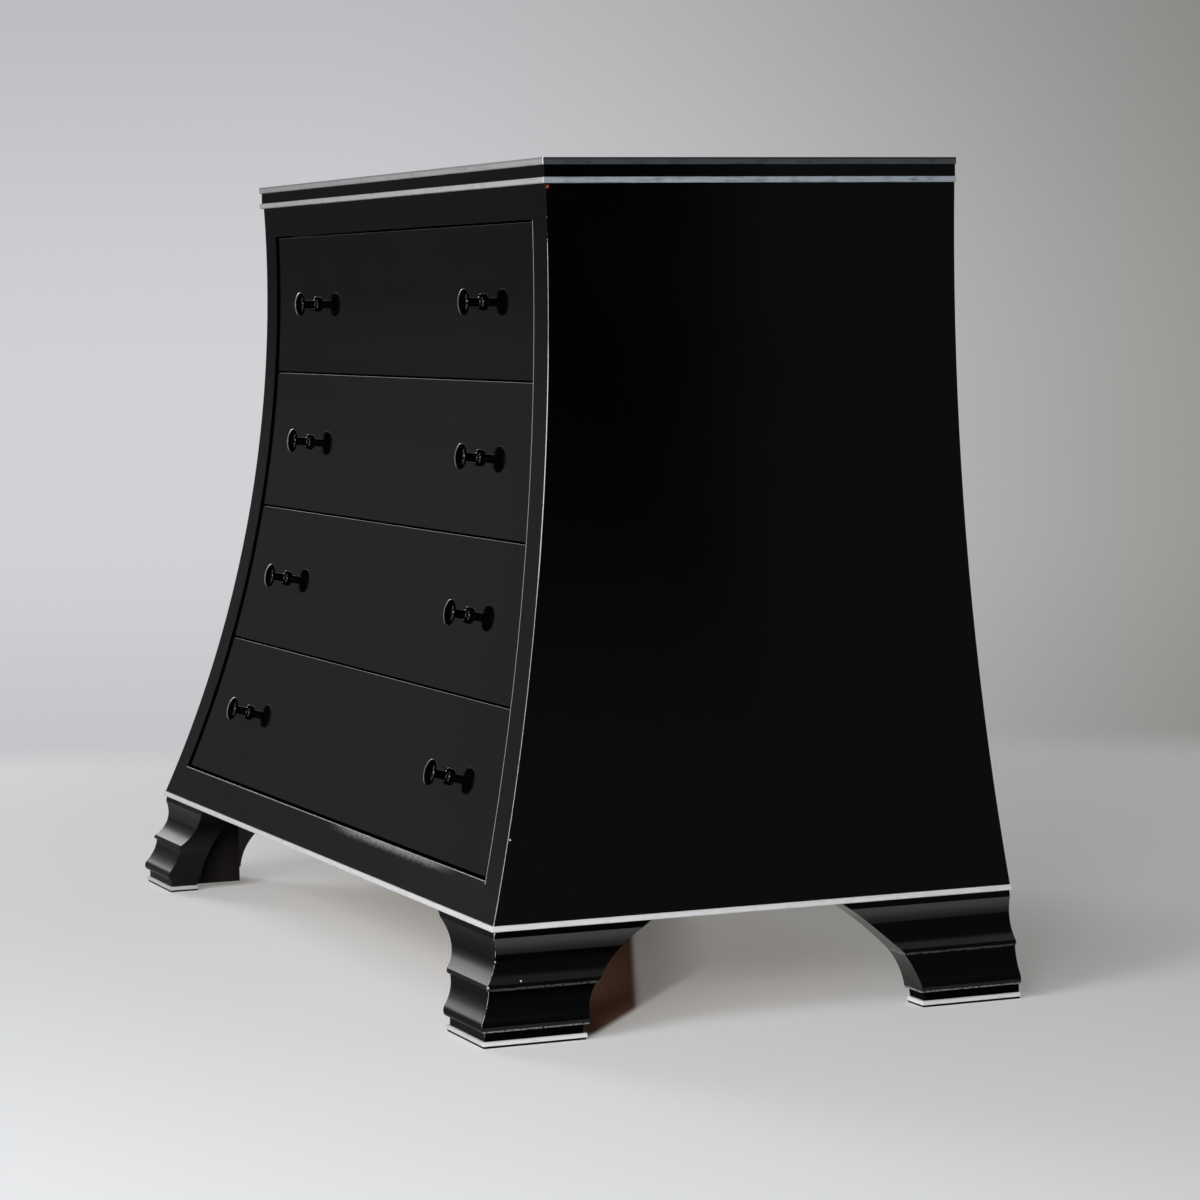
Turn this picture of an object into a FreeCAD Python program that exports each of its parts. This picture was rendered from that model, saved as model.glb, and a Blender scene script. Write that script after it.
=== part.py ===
"""Four-drawer commode chest with hollow, flaring front and sides, silvered beads and moulded feet.

Millimetres. +Z is up, X runs along the width, and the drawers open towards -Y.
The origin lies on the floor, in the middle of the outline of the feet.
The front and both sides share one hollow arc, so every corner mitre lies in the same 45 degree plane.
"""
import FreeCAD
import Part
import math
import os

V = FreeCAD.Vector

# Case
OVERALL_HEIGHT = 890.0
WAIST_WIDTH = 964.0
WAIST_DEPTH = 470.0
WAIST_HEIGHT = 781.0
FLARE_RADIUS = 1953.0
CORNER_ROUND = 1.5
PANEL_THICKNESS = 22.0
BACK_THICKNESS = 12.0
BOTTOM_THICKNESS = 16.0

# Silvered beads and the black band between the two upper ones
UPPER_BEAD_HEIGHT = 7.5
BAND_HEIGHT = 12.7
LOWER_BEAD_HEIGHT = 6.3
BASE_BEAD_HEIGHT = 6.0
TOP_BEAD_PROJECTION = 4.2
BASE_BEAD_PROJECTION = 2.8
BAND_SET_BACK = 2.6
BEAD_DEPTH = 12.0
BEAD_ROUND = 1.6
FULLEST_ROUND = 0.45  # of a strip's height, so that some flat is left between its two rounded edges

# Face frame
STILE_WIDTH = 41.0
TOP_RAIL_HEIGHT = 36.0
BOTTOM_RAIL_HEIGHT = 37.5
OPENING_ROUND = 0.5

# Drawers
DRAWER_COUNT = 4
DRAWER_RECESS = 2.6
DRAWER_GAP = 2.3
FRONT_THICKNESS = 22.0
FRONT_ROUND = 0.5
FRONT_LIP = 10.0
SIDE_THICKNESS = 12.0
SIDE_HOUSING = 8.0
DRAWER_BACK_THICKNESS = 12.0
DRAWER_BACK_DROP = 6.0
DRAWER_BOTTOM_THICKNESS = 6.0
DRAWER_BOTTOM_RAISE = 9.0
BOTTOM_GROOVE = 5.0
DRAWER_HEADROOM = 4.0
DRAWER_TAIL_GAP = 10.0
RUN_CLEARANCE = 0.3

# Frame pieces that carry and guide the drawers
RAIL_THICKNESS = 18.0
RAIL_DEPTH = 60.0
RAIL_CLEARANCE = 1.0
RUNNER_BEARING = 22.0
GUIDE_WIDTH = 12.0
GUIDE_HEIGHT = 18.0
GUIDE_CLEARANCE = 0.8
STOP_LENGTH = 50.0
STOP_DEPTH = 14.0
STOP_ROOM = 3.3
STOP_CLEARANCE = 0.3
STOP_PLACE = 220.0

# Turned knobs: heights are measured along the knob's own axis, from the drawer face
KNOB_INSET = 156.0
KNOB_HEAD_RADIUS = 14.2
KNOB_RIM_HEIGHT = 22.3
KNOB_RIM_ROUND = 2.6
KNOB_DOME = 5.2
KNOB_BACK = 4.8
KNOB_STEM_RADIUS = 4.7
KNOB_COVE = 2.2
KNOB_BASE_RADIUS = 9.2
KNOB_BASE_HEIGHT = 4.0
KNOB_BASE_EDGE = 0.9
KNOB_SEAT = 0.3
KNOB_TENON_RADIUS = 4.0
KNOB_TENON_LENGTH = 16.0

# Bracket feet: reaches are measured outwards from the face of the base bead
SOLE_HEIGHT = 2.2
SOLE_REACH = 17.5
SOLE_ROUND = 0.5
PAD_HEIGHT = 4.4
PAD_REACH = 18.6
PAD_ROUND = 0.8
NECK_REACH = 15.4
NECK_HEIGHT = 9.2
NOSE_UNDER_HEIGHT = 4.7
NOSE_UNDER_REACH = 18.3
NOSE_REACH = 20.5
NOSE_HEIGHT = 6.5
NOSE_TOP_REACH = 18.4
LOWER_HOLLOW_HEIGHT = 27.9
LOWER_HOLLOW_REACH = 7.5
LOWER_HOLLOW_BOW = 1.9
LIP_UNDER_HEIGHT = 2.6
LIP_REACH = 10.5
LIP_HEIGHT = 4.0
LIP_TOP_REACH = 9.0
UPPER_HOLLOW_HEIGHT = 31.0
UPPER_HOLLOW_REACH = -5.3
COVE_HEIGHT = 13.5
CAP_REACH = -3.2
CAP_HEIGHT = 7.0
FOOT_TOP_REACH = -4.2
FOOT_THICKNESS = 42.0
FOOT_BASE_THICKNESS = 35.0
FRONT_WING_LENGTH = 109.5
SIDE_WING_LENGTH = 114.5
BACK_WING_LENGTH = 117.0
BACK_BRACKET_LENGTH = 95.0
BACK_BRACKET_THICKNESS = 20.0
WING_KNEE_HEIGHT = 42.0
WING_KNEE_SPREAD = 15.3
WING_SPREAD = 81.0
WING_BOW = 3.0
CORNER_BLOCK_SIZE = 30.0

# Levels
PAD_TOP = SOLE_HEIGHT + PAD_HEIGHT
NECK_TOP = PAD_TOP + NECK_HEIGHT
NOSE_LEVEL = NECK_TOP + NOSE_UNDER_HEIGHT
NOSE_TOP = NOSE_LEVEL + NOSE_HEIGHT
WING_KNEE_LEVEL = NECK_TOP + WING_KNEE_HEIGHT
LOWER_HOLLOW_TOP = NOSE_TOP + LOWER_HOLLOW_HEIGHT
LIP_LEVEL = LOWER_HOLLOW_TOP + LIP_UNDER_HEIGHT
LIP_TOP = LIP_LEVEL + LIP_HEIGHT
UPPER_HOLLOW_TOP = LIP_TOP + UPPER_HOLLOW_HEIGHT
CAP_BOTTOM = UPPER_HOLLOW_TOP + COVE_HEIGHT
FOOT_HEIGHT = CAP_BOTTOM + CAP_HEIGHT
CASE_BOTTOM = FOOT_HEIGHT + BASE_BEAD_HEIGHT
UPPER_BEAD_BOTTOM = OVERALL_HEIGHT - UPPER_BEAD_HEIGHT
CASE_TOP = UPPER_BEAD_BOTTOM - BAND_HEIGHT
LOWER_BEAD_BOTTOM = CASE_TOP - LOWER_BEAD_HEIGHT
OPENING_TOP = LOWER_BEAD_BOTTOM - TOP_RAIL_HEIGHT
OPENING_BOTTOM = CASE_BOTTOM + BOTTOM_RAIL_HEIGHT
DRAWER_PITCH = (OPENING_TOP - OPENING_BOTTOM) / DRAWER_COUNT
FRONT_HEIGHT = (OPENING_TOP - OPENING_BOTTOM - (DRAWER_COUNT + 1) * DRAWER_GAP) / DRAWER_COUNT
STOP_HEIGHT = RUN_CLEARANCE + DRAWER_BOTTOM_RAISE - STOP_ROOM


def flare(z, inset=0.0):
    """How far the hollow face, set in by inset, stands outside the waist at height z."""
    return FLARE_RADIUS - math.sqrt((FLARE_RADIUS + inset) ** 2 - (WAIST_HEIGHT - z) ** 2)


# Plan: the waist rectangle is the reference that every reach is measured from
HALF_WAIST = WAIST_WIDTH / 2
BASE_REACH = flare(CASE_BOTTOM) + BASE_BEAD_PROJECTION
TOP_REACH = flare(LOWER_BEAD_BOTTOM) + TOP_BEAD_PROJECTION
OVERALL_DEPTH = WAIST_DEPTH + BASE_REACH + NOSE_REACH
OVERALL_WIDTH = WAIST_WIDTH + 2 * (BASE_REACH + NOSE_REACH)
BACK_Y = OVERALL_DEPTH / 2
WAIST_Y = BACK_Y - WAIST_DEPTH
INNER_BACK_Y = BACK_Y - BACK_THICKNESS
DRAWER_TAIL_Y = INNER_BACK_Y - DRAWER_TAIL_GAP
FRONT_BACK_INSET = DRAWER_RECESS + FRONT_THICKNESS


def half_width(z, inset=0.0):
    """Half the case width at height z, to the side face set in by inset."""
    return HALF_WAIST + flare(z, inset)


def front_y(z, inset=0.0):
    """Place of the front face, set in by inset, at height z."""
    return WAIST_Y - flare(z, inset)


def box(low, high):
    """Block between two corners."""
    return Part.makeBox(high[0] - low[0], high[1] - low[1], high[2] - low[2], V(*low))


def both_sides(right):
    """A right-hand solid and its mirror image, as one group."""
    return Part.makeCompound([right, mirrored(right)])


def mirrored(right):
    """The left-hand copy of a right-hand solid."""
    return right.mirror(V(0, 0, 0), V(1, 0, 0))


def prism(edges, along):
    """Solid from a closed outline of edges, pushed along a vector."""
    return Part.Face(Part.Wire(edges)).extrude(along)


def line(start, end):
    return Part.makeLine(start, end)


def arc(start, middle, end):
    return Part.Arc(start, middle, end).toShape()


def across(inset, low, high):
    """Everything between the two hollow side faces set in by inset, from low to high."""
    middle = (low + high) / 2

    def at(z, side):
        return V(side * half_width(z, inset), -OVERALL_DEPTH, z)

    edges = [
        line(at(low, -1), at(low, 1)),
        arc(at(low, 1), at(middle, 1), at(high, 1)),
        line(at(high, 1), at(high, -1)),
        arc(at(high, -1), at(middle, -1), at(low, -1)),
    ]
    return prism(edges, V(0, OVERALL_DEPTH + BACK_Y, 0))


def behind(inset, low, high):
    """Everything between the hollow front face set in by inset and the flat back."""
    middle = (low + high) / 2

    def at(z):
        return V(-OVERALL_WIDTH, front_y(z, inset), z)

    back_low = V(-OVERALL_WIDTH, BACK_Y, low)
    back_high = V(-OVERALL_WIDTH, BACK_Y, high)
    edges = [
        arc(at(low), at(middle), at(high)),
        line(at(high), back_high),
        line(back_high, back_low),
        line(back_low, at(low)),
    ]
    return prism(edges, V(2 * OVERALL_WIDTH, 0, 0))


def core(side_inset, front_inset, low, high):
    """The hollow-faced case shape, set in from the sides and from the front."""
    return across(side_inset, low, high).common(behind(front_inset, low, high))


def front_wedge():
    """Everything in front of the two corner mitres, seen in plan as one large triangle."""
    apex_y = HALF_WAIST + WAIST_Y
    far_y = -OVERALL_DEPTH
    spread = apex_y - far_y
    corners = [V(0, apex_y, 0), V(-spread, far_y, 0), V(spread, far_y, 0)]
    edges = [line(corners[i], corners[(i + 1) % 3]) for i in range(3)]
    return prism(edges, V(0, 0, OVERALL_HEIGHT))


WEDGE = front_wedge()


def right_part(shape):
    """The solid of a pair that lies on the right."""
    return max(shape.Solids, key=lambda solid: solid.CenterOfMass.x)


def case_block():
    """The case's outer shape, with its two front corners rounded over."""
    block = core(0.0, 0.0, CASE_BOTTOM, CASE_TOP)

    def runs_three_ways(edge):
        reach = edge.BoundBox
        return min(reach.XLength, reach.YLength, reach.ZLength) > CORNER_ROUND

    return block.makeFillet(CORNER_ROUND, [edge for edge in block.Edges if runs_three_ways(edge)])


def mitred_runs(section):
    """A moulding that runs along the front and both sides; section draws its outline at a place."""
    def at_front(reach, z):
        return V(-OVERALL_WIDTH, WAIST_Y - reach, z)

    def at_side(reach, z):
        return V(HALF_WAIST + reach, BACK_Y, z)

    front = prism(section(at_front), V(2 * OVERALL_WIDTH, 0, 0)).common(WEDGE)
    right = prism(section(at_side), V(0, -2 * OVERALL_DEPTH, 0)).cut(WEDGE)
    return front.Solids[0], right.Solids[0]


def strip_section(reach, depth, low, high, rounding):
    """Outline of a flat strip with its two outer edges rounded, as far as its height lets them."""
    radius = min(rounding, FULLEST_ROUND * (high - low))
    inner = reach - depth
    edge = reach - radius
    bow = radius * math.sqrt(0.5)

    def draw(at):
        return [
            line(at(inner, low), at(edge, low)),
            arc(at(edge, low), at(edge + bow, low + radius - bow), at(reach, low + radius)),
            line(at(reach, low + radius), at(reach, high - radius)),
            arc(at(reach, high - radius), at(edge + bow, high - radius + bow), at(edge, high)),
            line(at(edge, high), at(inner, high)),
            line(at(inner, high), at(inner, low)),
        ]
    return draw


def bead(reach, low, high):
    """Silvered strip round the front and both sides, mitred at the corners."""
    front, right = mitred_runs(strip_section(reach, BEAD_DEPTH, low, high, BEAD_ROUND))
    return Part.makeCompound([front, right, mirrored(right)])


def hollow_middle(start, end):
    """Middle of the arc that leaves start straight up or down and ends at end, as (reach, height)."""
    run = end[0] - start[0]
    rise = end[1] - start[1]
    radius = (run ** 2 + rise ** 2) / (2 * abs(run))
    half_turn = math.asin(min(1.0, abs(rise) / radius)) / 2
    reach = start[0] + math.copysign(radius * (1 - math.cos(half_turn)), run)
    return reach, start[1] + math.copysign(radius * math.sin(half_turn), rise)


def bowed_middle(start, end, bow):
    """Middle of the arc that runs from start down to end and hollows the straight way by bow."""
    run = end[0] - start[0]
    rise = end[1] - start[1]
    span = math.hypot(run, rise)
    return (start[0] + end[0]) / 2 + bow * rise / span, (start[1] + end[1]) / 2 - bow * run / span


def foot_inner_reach(z):
    """The foot's inner face leans outwards, from its full thickness at the top to a thinner base."""
    top = BASE_REACH + UPPER_HOLLOW_REACH - FOOT_THICKNESS
    bottom = BASE_REACH + PAD_REACH - FOOT_BASE_THICKNESS
    return bottom + (top - bottom) * z / FOOT_HEIGHT


def foot_section(at):
    """Outline of a foot wing: cap, cove, upper hollow, lip, lower hollow, nose and neck, from the top down."""
    top = (BASE_REACH + FOOT_TOP_REACH, FOOT_HEIGHT)
    cap = (BASE_REACH + CAP_REACH, CAP_BOTTOM)
    waist = (BASE_REACH + UPPER_HOLLOW_REACH, UPPER_HOLLOW_TOP)
    lip_top = (BASE_REACH + LIP_TOP_REACH, LIP_TOP)
    lip = (BASE_REACH + LIP_REACH, LIP_LEVEL)
    hollow = (BASE_REACH + LOWER_HOLLOW_REACH, LOWER_HOLLOW_TOP)
    nose_top = (BASE_REACH + NOSE_TOP_REACH, NOSE_TOP)
    nose = (BASE_REACH + NOSE_REACH, NOSE_LEVEL)
    nose_under = (BASE_REACH + NOSE_UNDER_REACH, NECK_TOP)
    neck_top = (BASE_REACH + NECK_REACH, NECK_TOP)
    neck_bottom = (BASE_REACH + NECK_REACH, PAD_TOP)
    inner_bottom = (foot_inner_reach(PAD_TOP), PAD_TOP)
    inner_top = (foot_inner_reach(FOOT_HEIGHT), FOOT_HEIGHT)
    return [
        line(at(*top), at(*cap)),
        arc(at(*cap), at(*hollow_middle(waist, cap)), at(*waist)),
        arc(at(*waist), at(*hollow_middle(waist, lip_top)), at(*lip_top)),
        line(at(*lip_top), at(*lip)),
        line(at(*lip), at(*hollow)),
        arc(at(*hollow), at(*bowed_middle(hollow, nose_top, LOWER_HOLLOW_BOW)), at(*nose_top)),
        arc(at(*nose_top), at(*hollow_middle(nose, nose_top)), at(*nose)),
        arc(at(*nose), at(*hollow_middle(nose, nose_under)), at(*nose_under)),
        line(at(*nose_under), at(*neck_top)),
        line(at(*neck_top), at(*neck_bottom)),
        line(at(*neck_bottom), at(*inner_bottom)),
        line(at(*inner_bottom), at(*inner_top)),
        line(at(*inner_top), at(*top)),
    ]


def upright_outline(low, high):
    """Outline between two levels under the hollow end, where a wing's inner end stands upright."""
    def outline(at, start, length):
        return [
            line(at(start, low), at(length, low)),
            line(at(length, low), at(length, high)),
            line(at(length, high), at(start, high)),
            line(at(start, high), at(start, low)),
        ]
    return outline


def wing_outline(at, start, length):
    """Outline of a wing above its neck: the inner end leaves the upright to a knee, then spreads to the top."""
    foot = (length, NECK_TOP)
    knee = (length + WING_KNEE_SPREAD, WING_KNEE_LEVEL)
    top = (length + WING_SPREAD, FOOT_HEIGHT)
    return [
        line(at(start, NECK_TOP), at(*foot)),
        arc(at(*foot), at(*hollow_middle(foot, knee)), at(*knee)),
        arc(at(*knee), at(*bowed_middle(top, knee, WING_BOW)), at(*top)),
        line(at(*top), at(start, FOOT_HEIGHT)),
        line(at(start, FOOT_HEIGHT), at(start, NECK_TOP)),
    ]


def front_wing_zone(outline, length):
    """Zone of a right-hand front wing, measured inwards from the foot's outer side."""
    outer_x = HALF_WAIST + BASE_REACH + PAD_REACH

    def at(distance, z):
        return V(outer_x - distance, -OVERALL_DEPTH, z)

    return prism(outline(at, -OVERALL_WIDTH, length), V(0, 2 * OVERALL_DEPTH, 0))


def side_wing_zone(outline, length):
    """Zone of a right-hand side wing, measured backwards from the foot's outer front."""
    outer_y = WAIST_Y - BASE_REACH - PAD_REACH

    def at(distance, z):
        return V(0, outer_y + distance, z)

    return prism(outline(at, -OVERALL_DEPTH, length), V(2 * OVERALL_WIDTH, 0, 0))


def back_wing_zone(outline, length):
    """Zone of a right-hand side wing of a back foot, measured forwards from the flat back."""
    def at(distance, z):
        return V(0, BACK_Y - distance, z)

    return prism(outline(at, -OVERALL_DEPTH, length), V(2 * OVERALL_WIDTH, 0, 0))


def set_back(reach):
    """How far a layer of the foot lies behind the nose, at the face and again at the wing's inner end."""
    return NOSE_REACH - reach


def wing_zone(zone, length):
    """Zone of a whole wing, with the neck set back at its inner end as it is at the face."""
    neck = zone(upright_outline(PAD_TOP, NECK_TOP), length - set_back(NECK_REACH))
    return zone(wing_outline, length).fuse(neck)


def plate(reach, inner, low, high, rounding):
    """Front and side runs of a flat plate under a foot."""
    return mitred_runs(strip_section(BASE_REACH + reach, BASE_REACH + reach - inner, low, high, rounding))


def back_bracket_zone(outline, length):
    """Zone of the plain board along the back of a right-hand back foot, measured inwards from its side wing."""
    outer_x = HALF_WAIST + foot_inner_reach(PAD_TOP)

    def at(distance, z):
        return V(outer_x - distance, BACK_Y - BACK_BRACKET_THICKNESS, z)

    return prism(outline(at, 0.0, length), V(0, BACK_BRACKET_THICKNESS, 0))


def knob_half(rise):
    """Half of a knob's head: the middle of the rim's round, its joint to the crown, and the crown's height."""
    run = KNOB_HEAD_RADIUS - KNOB_RIM_ROUND
    lift = rise - KNOB_RIM_ROUND
    drop = (run ** 2 - lift ** 2) / (2 * lift)
    crown = rise + drop
    turn = math.atan2(drop, run)
    middle = (run + KNOB_RIM_ROUND * math.cos(turn / 2), KNOB_RIM_ROUND * math.sin(turn / 2))
    joint = (run + KNOB_RIM_ROUND * math.cos(turn), KNOB_RIM_ROUND * math.sin(turn))

    def height(radius):
        return math.sqrt(crown ** 2 - radius ** 2) - drop

    return middle, joint, height


def knob_turning():
    """One knob, turned about Z, with its seat at height 0 and its tenon below."""
    cove_top = KNOB_BASE_HEIGHT + KNOB_COVE
    cove_out = KNOB_STEM_RADIUS + KNOB_COVE
    cove_mid = KNOB_COVE * (1 - math.sqrt(0.5))
    middle, joint, dome_height = knob_half(KNOB_DOME)
    back_middle, back_joint, back_height = knob_half(KNOB_BACK)
    dome_run = joint[0] / 2
    back_run = (KNOB_STEM_RADIUS + back_joint[0]) / 2

    def at(radius, height):
        return V(radius, 0, height)

    def on_dome(radius, height):
        return at(radius, KNOB_RIM_HEIGHT + height)

    def on_back(radius, height):
        return at(radius, KNOB_RIM_HEIGHT - height)

    rim = at(KNOB_HEAD_RADIUS, KNOB_RIM_HEIGHT)
    neck = on_back(KNOB_STEM_RADIUS, back_height(KNOB_STEM_RADIUS))
    apex = on_dome(0, KNOB_DOME)
    edges = [
        line(at(0, -KNOB_TENON_LENGTH), at(KNOB_TENON_RADIUS, -KNOB_TENON_LENGTH)),
        line(at(KNOB_TENON_RADIUS, -KNOB_TENON_LENGTH), at(KNOB_TENON_RADIUS, -KNOB_SEAT)),
        line(at(KNOB_TENON_RADIUS, -KNOB_SEAT), at(KNOB_BASE_RADIUS - KNOB_BASE_EDGE, -KNOB_SEAT)),
        arc(at(KNOB_BASE_RADIUS - KNOB_BASE_EDGE, -KNOB_SEAT),
            at(KNOB_BASE_RADIUS, (KNOB_BASE_HEIGHT - KNOB_SEAT) / 2),
            at(KNOB_BASE_RADIUS - KNOB_BASE_EDGE, KNOB_BASE_HEIGHT)),
        line(at(KNOB_BASE_RADIUS - KNOB_BASE_EDGE, KNOB_BASE_HEIGHT), at(cove_out, KNOB_BASE_HEIGHT)),
        arc(at(cove_out, KNOB_BASE_HEIGHT),
            at(KNOB_STEM_RADIUS + cove_mid, KNOB_BASE_HEIGHT + cove_mid),
            at(KNOB_STEM_RADIUS, cove_top)),
        line(at(KNOB_STEM_RADIUS, cove_top), neck),
        arc(neck, on_back(back_run, back_height(back_run)), on_back(*back_joint)),
        arc(on_back(*back_joint), on_back(*back_middle), rim),
        arc(rim, on_dome(*middle), on_dome(*joint)),
        arc(on_dome(*joint), on_dome(dome_run, dome_height(dome_run)), apex),
        line(apex, at(0, -KNOB_TENON_LENGTH)),
    ]
    return Part.Face(Part.Wire(edges)).revolve(V(0, 0, 0), V(0, 0, 1), 360)


def seated_knob(x, z):
    """A knob that stands square to the hollow drawer face at x and z."""
    knob = knob_turning()
    lean = math.degrees(math.asin((WAIST_HEIGHT - z) / (FLARE_RADIUS + DRAWER_RECESS)))
    knob.rotate(V(0, 0, 0), V(1, 0, 0), 90.0 - lean)
    knob.translate(V(x, front_y(z, DRAWER_RECESS), z))
    return knob


def front_top(index):
    """Top of a drawer front; drawer 1 is the uppermost."""
    return OPENING_TOP - DRAWER_GAP - (index - 1) * (FRONT_HEIGHT + DRAWER_GAP)


def rail_level(index):
    """Middle height of the hidden rail under a drawer; index 0 is the level above the first."""
    return OPENING_TOP - index * DRAWER_PITCH


def rail_back_y(index):
    """Back edge of the hidden rail under a drawer."""
    return front_y(rail_level(index), FRONT_BACK_INSET + RAIL_CLEARANCE) + RAIL_DEPTH


def box_half_width(index):
    """Half the outside width of a drawer's box, which clears the narrowest part of its opening."""
    high = front_top(index)
    narrowest = min(max(WAIST_HEIGHT, high - FRONT_HEIGHT), high)
    return half_width(narrowest, STILE_WIDTH) - DRAWER_GAP - FRONT_LIP


def drawer(index):
    """All the pieces of one drawer, by name."""
    high = front_top(index)
    low = high - FRONT_HEIGHT
    middle = (high + low) / 2
    half = box_half_width(index)
    side_low = rail_level(index) + RAIL_THICKNESS / 2 + RUN_CLEARANCE
    side_high = rail_level(index - 1) - RAIL_THICKNESS / 2 - DRAWER_HEADROOM
    panel_low = side_low + DRAWER_BOTTOM_RAISE
    panel_high = panel_low + DRAWER_BOTTOM_THICKNESS
    inner = half - SIDE_THICKNESS

    front = core(STILE_WIDTH + DRAWER_GAP, DRAWER_RECESS, low, high).cut(behind(FRONT_BACK_INSET, low, high))
    broad_faces = sorted(front.Faces, key=lambda face: face.Area)[-2:]
    outer_face = min(broad_faces, key=lambda face: face.CenterOfMass.y)
    front = front.makeFillet(FRONT_ROUND, outer_face.Edges)

    side_zone = behind(FRONT_BACK_INSET - SIDE_HOUSING, side_low, side_high)
    side = box((inner, -OVERALL_DEPTH, side_low), (half, DRAWER_TAIL_Y, side_high)).common(side_zone)
    panel_zone = behind(FRONT_BACK_INSET - BOTTOM_GROOVE, panel_low, panel_high)
    panel_half = inner + BOTTOM_GROOVE
    panel = box((-panel_half, -OVERALL_DEPTH, panel_low), (panel_half, DRAWER_TAIL_Y, panel_high))
    panel = panel.common(panel_zone)
    back = box((-inner, DRAWER_TAIL_Y - DRAWER_BACK_THICKNESS, panel_high),
               (inner, DRAWER_TAIL_Y, side_high - DRAWER_BACK_DROP))
    knob_x = half_width(middle, STILE_WIDTH) - KNOB_INSET
    knobs = [seated_knob(side_sign * knob_x, middle) for side_sign in (-1, 1)]

    for piece in [side, mirrored(side), panel] + knobs:
        front = front.cut(piece)
    side = side.cut(panel)
    name = "drawer_%d_" % index
    return {
        name + "front": front,
        name + "left_side": mirrored(side),
        name + "right_side": side,
        name + "back": back,
        name + "bottom": panel,
        name + "knobs": Part.makeCompound(knobs),
    }


def face_frame(block):
    """The whole facing of the front, with the drawers' opening cut out and its front edges rounded over."""
    facing = block.common(WEDGE).cut(behind(PANEL_THICKNESS, CASE_BOTTOM, CASE_TOP))
    frame = facing.cut(across(STILE_WIDTH, OPENING_BOTTOM, OPENING_TOP))
    holed_faces = [face for face in frame.Faces if len(face.Wires) > 1]
    outer_face = min(holed_faces, key=lambda face: face.CenterOfMass.y)
    rims = [wire for wire in outer_face.Wires if not wire.isSame(outer_face.OuterWire)]
    return frame.makeFillet(OPENING_ROUND, rims[0].Edges)


def case_pieces(beads):
    """Panels, boards and face frame of the case; beads are let into the panels and the top board."""
    block = case_block()
    inner = across(PANEL_THICKNESS, CASE_BOTTOM, CASE_TOP)
    panel = right_part(block.cut(inner)).cut(WEDGE).cut(beads["lower_bead"])
    frame = face_frame(block).cut(beads["lower_bead"])
    between_stiles = across(STILE_WIDTH, CASE_BOTTOM, CASE_TOP)
    stile = right_part(frame.cut(between_stiles))
    rails = frame.common(between_stiles)
    far = OVERALL_WIDTH
    top_rail = rails.common(box((-far, -far, OPENING_TOP), (far, far, CASE_TOP)))
    bottom_rail = rails.common(box((-far, -far, CASE_BOTTOM), (far, far, OPENING_BOTTOM)))
    back = inner.common(box((-far, INNER_BACK_Y, CASE_BOTTOM), (far, BACK_Y, CASE_TOP)))

    band_reach = TOP_REACH - BAND_SET_BACK
    top = box((-HALF_WAIST - band_reach, WAIST_Y - band_reach, CASE_TOP),
              (HALF_WAIST + band_reach, BACK_Y, OVERALL_HEIGHT)).cut(beads["upper_bead"])

    tray_reach = BASE_REACH - BEAD_DEPTH
    tray = box((-HALF_WAIST - tray_reach, WAIST_Y - tray_reach, FOOT_HEIGHT),
               (HALF_WAIST + tray_reach, BACK_Y, CASE_BOTTOM))
    floor_top = CASE_BOTTOM + BOTTOM_THICKNESS
    floor = core(PANEL_THICKNESS, PANEL_THICKNESS, CASE_BOTTOM, floor_top)
    floor = floor.cut(box((-far, INNER_BACK_Y, CASE_BOTTOM), (far, BACK_Y, floor_top)))
    return {
        "left_side_panel": mirrored(panel),
        "right_side_panel": panel,
        "back_panel": back,
        "top_board": top,
        "bottom_board": tray.fuse(floor).removeSplitter(),
        "left_stile": mirrored(stile),
        "right_stile": stile,
        "top_rail": top_rail,
        "bottom_rail": bottom_rail,
    }


def drawer_frame():
    """Hidden rails, runners, guides, kickers and stops inside the case."""
    far = OVERALL_WIDTH
    pieces = {}
    guides = []
    stops = []
    for index in range(1, DRAWER_COUNT + 1):
        low = rail_level(index) - RAIL_THICKNESS / 2
        high = low + RAIL_THICKNESS
        back_y = rail_back_y(index)
        half = box_half_width(index)
        rail = core(PANEL_THICKNESS, FRONT_BACK_INSET + RAIL_CLEARANCE, low, high)
        pieces["drawer_rail_%d" % index] = rail.common(box((-far, -far, low), (far, back_y, high)))

        runner = box((half - RUNNER_BEARING, back_y, low), (far, INNER_BACK_Y, high))
        runner = runner.common(across(PANEL_THICKNESS, low, high))
        pieces["drawer_runners_%d" % index] = both_sides(runner)

        guide_x = half + GUIDE_CLEARANCE
        guide = box((guide_x, back_y, high), (guide_x + GUIDE_WIDTH, INNER_BACK_Y, high + GUIDE_HEIGHT))
        guides += [guide, mirrored(guide)]

        stop_zone = behind(FRONT_BACK_INSET + STOP_CLEARANCE, high, high + STOP_HEIGHT)
        stop_y = front_y(high, FRONT_BACK_INSET) + STOP_DEPTH
        stop = box((STOP_PLACE, -far, high), (STOP_PLACE + STOP_LENGTH, stop_y, high + STOP_HEIGHT))
        stop = stop.common(stop_zone)
        stops += [stop, mirrored(stop)]

    kicker_low = rail_level(0) - RAIL_THICKNESS / 2
    kicker = box((box_half_width(1) - RUNNER_BEARING, -far, kicker_low), (far, INNER_BACK_Y, CASE_TOP))
    kicker = kicker.common(core(PANEL_THICKNESS, FRONT_BACK_INSET + RAIL_CLEARANCE, kicker_low, CASE_TOP))
    pieces["drawer_guides"] = Part.makeCompound(guides)
    pieces["drawer_stops"] = Part.makeCompound(stops)
    pieces["drawer_kickers"] = both_sides(kicker)
    return pieces


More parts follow.
